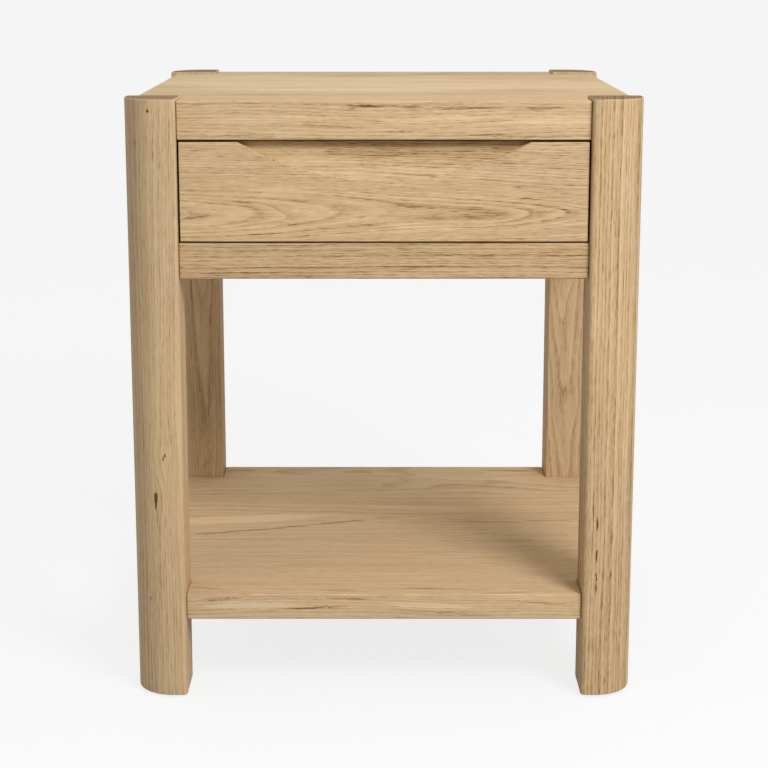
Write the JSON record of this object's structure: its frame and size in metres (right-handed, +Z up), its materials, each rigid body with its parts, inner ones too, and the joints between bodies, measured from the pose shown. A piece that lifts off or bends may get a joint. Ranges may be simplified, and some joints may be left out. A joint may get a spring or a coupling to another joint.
{
  "type": "nightstand",
  "caption": "Solid oak nightstand: square posts with a large outer radius, a thick top, a drawer with a scooped finger pull on telescopic slides, and an open lower shelf.",
  "frame": {"origin": "centre of the footprint on the floor, under the four glides", "axes": "+Z up, the front and its drawer face -Y, +X to the right as seen from the front"},
  "size_m": [0.508, 0.4826, 0.6096],
  "materials": {
    "oak": "clear matt oil on planed solid oak",
    "birch": "sanded solid birch",
    "birch_ply": "sanded birch plywood",
    "beech": "plain turned beech",
    "zinc_steel": "zinc-plated rolled sheet steel",
    "screw_steel": "zinc-plated screw steel",
    "glide_plastic": "moulded matt plastic"
  },
  "bodies": {
    "frame": {"back_panel": "oak", "case_bottom": "birch_ply", "dowel_back_left": "beech", "dowel_back_right": "beech", "dowel_rail_left": "beech", "dowel_rail_right": "beech", "dowel_shelf_front_left": "beech", "dowel_shelf_front_right": "beech", "dowel_shelf_rear_left": "beech", "dowel_shelf_rear_right": "beech", "dowel_side_front_left_high": "beech", "dowel_side_front_left_low": "beech", "dowel_side_front_right_high": "beech", "dowel_side_front_right_low": "beech", "dowel_side_rear_left_high": "beech", "dowel_side_rear_left_low": "beech", "dowel_side_rear_right_high": "beech", "dowel_side_rear_right_low": "beech", "dowel_top_front_left": "beech", "dowel_top_front_right": "beech", "dowel_top_rear_left": "beech", "dowel_top_rear_right": "beech", "front_rail": "oak", "glide_front_left": "glide_plastic", "glide_front_right": "glide_plastic", "glide_rear_left": "glide_plastic", "glide_rear_right": "glide_plastic", "post_front_left": "oak", "post_front_right": "oak", "post_rear_left": "oak", "post_rear_right": "oak", "runner_cleat_left": "birch", "runner_cleat_right": "birch", "screw_outer_left_front": "screw_steel", "screw_outer_left_rear": "screw_steel", "screw_outer_right_front": "screw_steel", "screw_outer_right_rear": "screw_steel", "shelf": "oak", "side_panel_left": "oak", "side_panel_right": "oak", "slide_outer_left": "zinc_steel", "slide_outer_right": "zinc_steel", "top_panel": "oak"},
    "drawer": {"drawer_bottom": "birch_ply", "drawer_box_back": "birch", "drawer_box_front": "birch", "drawer_front": "oak", "drawer_side_left": "birch", "drawer_side_right": "birch", "screw_front_left": "screw_steel", "screw_front_right": "screw_steel", "screw_inner_left_front": "screw_steel", "screw_inner_left_rear": "screw_steel", "screw_inner_right_front": "screw_steel", "screw_inner_right_rear": "screw_steel", "slide_inner_left": "zinc_steel", "slide_inner_right": "zinc_steel"},
    "slide_middle_left": {"slide_middle_left": "zinc_steel"},
    "slide_middle_right": {"slide_middle_right": "zinc_steel"}
  },
  "joints": [
    {"name": "drawer_slide", "type": "slide", "parent": "frame", "child": "drawer", "axis": [0, -1, 0], "range_m": [0, 0.32]},
    {"name": "middle_left_slide", "type": "slide", "parent": "frame", "child": "slide_middle_left", "axis": [0, -1, 0], "range_m": [0, 0.16]},
    {"name": "middle_right_slide", "type": "slide", "parent": "frame", "child": "slide_middle_right", "axis": [0, -1, 0], "range_m": [0, 0.16]}
  ],
  "couplings": [
    {"joint": "middle_left_slide", "follows": "drawer_slide", "ratio": 0.5},
    {"joint": "middle_right_slide", "follows": "drawer_slide", "ratio": 0.5}
  ]
}
